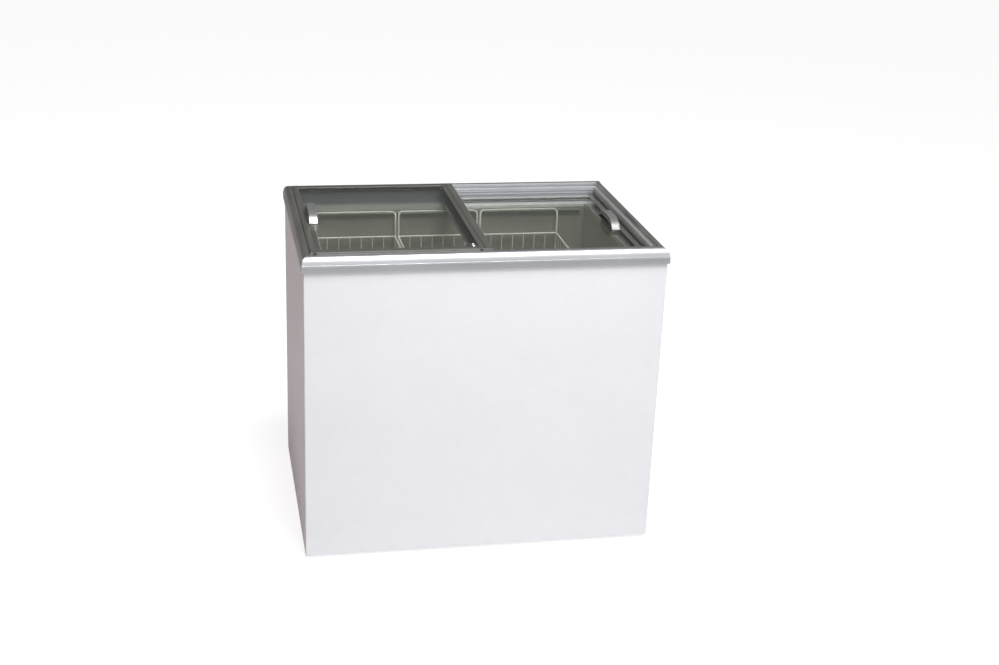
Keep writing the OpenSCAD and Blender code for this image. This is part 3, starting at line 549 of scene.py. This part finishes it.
lid_bars = (
    ("upper_front_rail", "front", rail_w, dark_along_x, "upper"),
    ("upper_rear_rail", "rear", rail_w, dark_along_x, "upper"),
    ("upper_end_stile", "left", end_w, dark_lit_along_y, "upper"),
    ("upper_meeting_stile", "right", upper_meeting_w, dark_lit_along_y, "upper"),
    ("lower_front_rail", "front", rail_w, silver_lit_along_x, "lower"),
    ("lower_rear_rail", "rear", rail_w, silver_lit_along_x, "lower"),
    ("lower_end_stile", "right", end_w, silver_shaded_along_y, "lower"),
    ("lower_meeting_stile", "left", lower_meeting_w, silver_shaded_along_y, "lower"))
frame_z = {"upper": 882.5, "lower": 844.5}
groove_places = {"upper_meeting_stile": (19, 23)}
for node, side, width, metal, lid in lid_bars:
    at, start, stop = bar_at(node, side)
    bar = frame_bar(width, start, stop, groove_places.get(node, ()))
    if side in ("left", "right"):
        bmesh.ops.translate(bar, vec=(0, 0, frame_z[lid]), verts=bar.verts)
        bmesh.ops.recalc_face_normals(bar, faces=bar.faces)
    if side in ("left", "rear"):
        bmesh.ops.reverse_faces(bar, faces=bar.faces)
    if node == "upper_meeting_stile":
        low, high = (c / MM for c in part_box("upper_brush"))
        skirt = bmesh.ops.create_cube(bar, size=1)["verts"]
        bmesh.ops.scale(bar, vec=(high.y - low.y, skirt_thick, skirt_height), verts=skirt)
        bmesh.ops.translate(bar, vec=(0, skirt_thick / 2, frame_z[lid] - skirt_height / 2), verts=skirt)
    piece(node + "_bar", bar, metal, lid + "_lid", lid + "_frame", node, place=at, smooth=30)

# ---------------------------------------------------------------------------------------------
# Glass: two tempered panes 4 mm thick, held in the bars' grooves.
# ---------------------------------------------------------------------------------------------

# Clear float glass: a sharp reflection and a grey-green body
glass = bpy.data.materials.new("tempered_float_glass")
glass.use_nodes = True
tree = glass.node_tree
tree.nodes.clear()
place = add(tree, "ShaderNodeTexCoord").outputs["Object"]
film = add(tree, "ShaderNodeTexNoise", {"Vector": place, "Scale": 9.0, "Detail": 3.0})
haze = add(tree, "ShaderNodeMapRange", {"Value": film.outputs["Fac"], "To Min": 0.015, "To Max": 0.05})
body = add(tree, "ShaderNodeBsdfTransparent", {"Color": linear("#ecedea")})
sheen = add(tree, "ShaderNodeBsdfGlossy",
            {"Color": linear("#f4f6f5"), "Roughness": haze.outputs["Result"]})
facing = add(tree, "ShaderNodeLayerWeight", {"Blend": 0.5})
steep = add(tree, "ShaderNodeMath", {0: facing.outputs["Facing"], 1: 5.0}, operation="POWER")
share = add(tree, "ShaderNodeMapRange", {"Value": steep.outputs["Value"], "To Min": 0.04})
mixed = add(tree, "ShaderNodeMixShader", {"Fac": share.outputs["Result"], 1: body.outputs["BSDF"],
                                          2: sheen.outputs["BSDF"]})
add(tree, "ShaderNodeOutputMaterial", {"Surface": mixed.outputs["Shader"]})
dress(glass, "upper_glass", "lower_glass")

# ---------------------------------------------------------------------------------------------
# Lid fittings: brush seal, slide pads, corner keys and the key lock through the upper pane.
# ---------------------------------------------------------------------------------------------

# Nylon brush: black filaments 0.5 mm apart that hang from the bar
brush = mottled("nylon_brush", "#2c2c2e", "#101011", 1.2, (0.6, 0.8), 0.4, stretch=(1, 1, 0.1))
dress(brush, "upper_brush")

# Acetal: milky white, slightly waxy
acetal = mottled("acetal", "#dcdcd8", "#cfcfca", 4, (0.35, 0.45), 0.02, IOR=1.48)
softened("upper_slide_pads", "upper_glides", acetal, "upper_lid", "slide_plastic", 0.8)
softened("lower_slide_pads", "lower_glides", acetal, "lower_lid", "slide_plastic", 0.8)

# Dark moulded nylon: charcoal, spark-eroded texture under a millimetre across
nylon = mottled("textured_dark_nylon", "#47494a", "#36383a", 0.8, (0.5, 0.65), 0.05, IOR=1.53)
softened("upper_corner_keys", "upper_corner_blocks", nylon, "upper_lid", "dark_plastic", 0.8)

# Nickel plated die casting: bright with slight polishing marks
nickel = mottled("nickel_plated_zinc", "#d9d9d6", "#bfbfbb", 1.5, (0.14, 0.26), 0.01, Metallic=1.0)
softened("lock_collar", "lock_housing", nickel, "upper_lid", "lock_metal", 0.6)
softened("lock_key_barrel", "lock_barrel", nickel, "lock", "lock_metal", 0.3)

# ---------------------------------------------------------------------------------------------
# Handles: a moulded bridge on each pane near its outer end, silver painted and glued down by
# its two feet and the thin strip between them.
# ---------------------------------------------------------------------------------------------
handle_length, handle_width, handle_height, handle_y, handle_foot = 160, 24, 30, 6, 16
leg_thick, finger_high = 5, 15

# Silver painted ABS: fine metallic flake under a satin lacquer
silver_abs = mottled("silver_painted_abs", "#7f807f", "#6f706f", 1.0, (0.28, 0.4), 0.02, Metallic=0.5,
                     Coat_Weight=0.3, Coat_Roughness=0.2)
for node, body_name in (("upper_handle", "upper_lid"), ("lower_handle", "lower_lid")):
    low, high = (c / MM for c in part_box(node))
    bm = bmesh.new()
    steps, reach = 16, handle_length / 2

    def arch(span, rise, i):
        """A point of an arch that is flat on top and drops steeply at its ends."""
        return handle_y + i / steps * span, low.z + rise * (1 - abs(i / steps) ** 4)

    over = [arch(reach, handle_height, i) for i in range(-steps, steps + 1)]
    under = [arch(reach - leg_thick, finger_high, i) for i in range(steps, -steps - 1, -1)]
    bm.faces.new([bm.verts.new((low.x, y, z)) for y, z in over + under])
    far = bmesh.ops.extrude_face_region(bm, geom=bm.faces[:])
    bmesh.ops.translate(bm, vec=(handle_width, 0, 0),
                        verts=[g for g in far["geom"] if isinstance(g, bmesh.types.BMVert)])
    for middle, long, thick in ((reach - handle_foot / 2, handle_foot, 2.6), (0, handle_length, 1.2),
                                (handle_foot / 2 - reach, handle_foot, 2.6)):
        slab = bmesh.ops.create_cube(bm, size=1)["verts"]
        bmesh.ops.scale(bm, vec=(handle_width, long, thick), verts=slab)
        bmesh.ops.translate(bm, verts=slab,
                            vec=(low.x + handle_width / 2, handle_y + middle, low.z + thick / 2))
    bmesh.ops.recalc_face_normals(bm, faces=bm.faces)
    piece(node + "_bridge", bm, silver_abs, body_name, "handle_plastic", node, edge=1.1, smooth=40)

# ---------------------------------------------------------------------------------------------
# Baskets: welded from drawn steel wire and dipped in white plastic. A thick wire runs round the
# top, and at each end a hoop of the same wire hooks over the ledge. The rest is thinner wire.
# ---------------------------------------------------------------------------------------------
basket_width, basket_depth, basket_rim, basket_half_length = 252, 230, 743, 284
hoop_y, hoop_z, thick, thin, hoop_bend, wire_pitch = 294, 820, 3.0, 1.5, 11, 33

# White dipped polyethylene: soft gloss, slightly uneven where it ran
dipped = mottled("dipped_white_polyethylene", "#f2f3ef", "#e6e7e2", 6, (0.35, 0.5), 0.1, IOR=1.51)


def straight_wire(bm, start, stop, radius):
    """A round wire between two points."""
    start, stop = Vector(start), Vector(stop)
    along = stop - start
    bmesh.ops.create_cone(
        bm, cap_ends=True, segments=8, radius1=radius, radius2=radius, depth=along.length,
        matrix=Matrix.Translation((start + stop) / 2) @ along.to_track_quat("Z", "Y").to_matrix().to_4x4())


def hoop(bm, half, end):
    """A hoop: up from the basket's rim, bent over the ledge and down again."""
    root = Matrix.Translation((-half, end * basket_half_length, basket_rim))
    ring = bmesh.ops.create_circle(bm, segments=10, radius=thick, matrix=root)["verts"]
    edges = list({e for v in ring for e in v.link_edges})
    first = edges[:]
    jog = end * (hoop_y - basket_half_length)

    def drawn_on(edges, way):
        grown = bmesh.ops.extrude_edge_only(bm, edges=edges)["geom"]
        bmesh.ops.translate(bm, vec=way, verts=[g for g in grown if isinstance(g, bmesh.types.BMVert)])
        return [g for g in grown if isinstance(g, bmesh.types.BMEdge)
                and all(abs((v.co - g.verts[0].co).length) < 3 * thick for v in g.verts)
                and len(g.link_faces) == 1]

    def bent(edges, centre, shift):
        turned_wire = bmesh.ops.spin(bm, geom=edges, cent=centre, axis=(0, 1, 0), dvec=(0, shift / 6, 0),
                                     angle=math.radians(90), steps=6, use_duplicate=False)
        return [g for g in turned_wire["geom_last"] if isinstance(g, bmesh.types.BMEdge)]

    rise = hoop_z - basket_rim - hoop_bend
    edges = drawn_on(edges, (0, 0, rise))
    edges = bent(edges, (-half + hoop_bend, end * basket_half_length, hoop_z - hoop_bend), jog)
    edges = drawn_on(edges, (2 * (half - hoop_bend), 0, 0))
    edges = bent(edges, (half - hoop_bend, end * hoop_y, hoop_z - hoop_bend), -jog)
    edges = drawn_on(edges, (0, 0, -rise))
    for loop in (first, edges):
        bmesh.ops.edgeloop_fill(bm, edges=loop)


for name, body_name in (("basket_left", "left_basket"), ("basket_middle", "middle_basket"),
                        ("basket_right", "right_basket")):
    low, high = (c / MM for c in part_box(name))
    bm = bmesh.new()
    half, length, floor_z = basket_width / 2 - thick, basket_half_length, basket_rim - basket_depth + thin
    for s in (-1, 1):
        hoop(bm, half, s)
        straight_wire(bm, (-half, s * length, basket_rim), (half, s * length, basket_rim), thick)
        straight_wire(bm, (s * half, -length, basket_rim), (s * half, length, basket_rim), thick)
        for t in (-1, 1):
            bmesh.ops.create_uvsphere(bm, u_segments=10, v_segments=6, radius=thick,
                                      matrix=Matrix.Translation((s * half, t * length, basket_rim)))
        for z in (floor_z, basket_rim - basket_depth / 2):
            straight_wire(bm, (-half, s * length, z), (half, s * length, z), thin)
            straight_wire(bm, (s * half, -length, z), (s * half, length, z), thin)
    for i in range(round(2 * half / wire_pitch) + 1):
        x = -half + thin + i * (2 * half - 2 * thin) / round(2 * half / wire_pitch)
        for s in (-1, 1):
            straight_wire(bm, (x, s * length, floor_z), (x, s * length, basket_rim), thin)
        straight_wire(bm, (x, -length, floor_z), (x, length, floor_z), thin)
    for i in range(round(2 * length / wire_pitch) + 1):
        y = -length + thin + i * (2 * length - 2 * thin) / round(2 * length / wire_pitch)
        for s in (-1, 1):
            straight_wire(bm, (s * half, y, floor_z), (s * half, y, basket_rim), thin)
        if i % 2 == 0:
            straight_wire(bm, (-half, y, floor_z - 2 * thin), (half, y, floor_z - 2 * thin), thin)
    bmesh.ops.recalc_face_normals(bm, faces=bm.faces)
    piece(name + "_wires", bm, dipped, body_name, "coated_wire", name,
          place=Matrix.Translation(((low.x + high.x) / 2, 0, 0)), smooth=60)

# ---------------------------------------------------------------------------------------------
# Cooling unit: a hermetic compressor on rubber mounts, its relay cover and its copper lines, in
# the compartment under the tank's raised end.
# ---------------------------------------------------------------------------------------------

# Black stove paint: satin over pressed steel
black_paint = mottled("black_stove_paint", "#232426", "#17181a", 6, (0.35, 0.5), 0.05, IOR=1.5)
softened("compressor_can", "compressor_shell", black_paint, "cabinet", "black_paint", 1.5)

# Moulded rubber: matt black with a grey bloom
rubber = mottled("moulded_rubber", "#3a3a3b", "#232324", 2, (0.75, 0.9), 0.1, IOR=1.52)
softened("compressor_mounts", "compressor_grommets", rubber, "cabinet", "rubber", 1.0)
softened("plug_seal", "drain_plug", rubber, "drain_plug_body", "rubber", 1.0)
dress(zinc, "compressor_bolts")
softened("relay_housing", "relay_cover", nylon, "cabinet", "dark_plastic", 3.0)

# ---------------------------------------------------------------------------------------------
# Back cover: a louvred steel pan with the thermostat's knob and the bushing for the mains lead.
# ---------------------------------------------------------------------------------------------
softened("back_grille", "rear_grille", back_paint, "cabinet", "grey_panel", 0.35)
louvres = bmesh.new()
louvre_long, louvre_high, louvre_deep, louvre_pitch, louvre_count = 140, 8, 5, 20, 9
louvre_inset, louvre_base, sheet_front = 24, 26, 1.2
low, high = (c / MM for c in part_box("rear_grille"))
for i in range(louvre_count):
    hood = drawn_bar([(0, 0, 0), (louvre_deep, 0, 0.4), (0, louvre_high + 1, 0), (-0.8, louvre_high + 1, 0),
                      (louvre_deep - 1, 0.8, 0.3), (-0.8, 0.8, 0)],
                     low.x + louvre_inset, low.x + louvre_inset + louvre_long)
    bmesh.ops.translate(hood, vec=(0, low.y + sheet_front, low.z + louvre_base + i * louvre_pitch),
                        verts=hood.verts)
    shape = bpy.data.meshes.new("hood")
    hood.to_mesh(shape)
    hood.free()
    louvres.from_mesh(shape)
    bpy.data.meshes.remove(shape)
piece("grille_louvres", louvres, back_paint, "cabinet", "grey_panel", smooth=30)
softened("thermostat_case", "thermostat_body", styrene, "cabinet", "white_plastic", 0.8)
softened("temperature_knob", "thermostat_knob", nylon, "knob", "dark_plastic", 0.8)
softened("lead_bushing", "cord_gland", nylon, "cabinet", "dark_plastic", 0.6)

# ---------------------------------------------------------------------------------------------
# Drain and feet: a plastic pipe from the tank floor to the back with a cap, and four low feet.
# ---------------------------------------------------------------------------------------------
softened("drain_tube", "drain_pipe", styrene, "cabinet", "white_plastic", 0.4)
softened("drain_end_cap", "drain_cap", nylon, "drain_cap_body", "dark_plastic", 1.0)
softened("foot_pads", "feet", nylon, "cabinet", "dark_plastic", 1.0)

low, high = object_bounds()
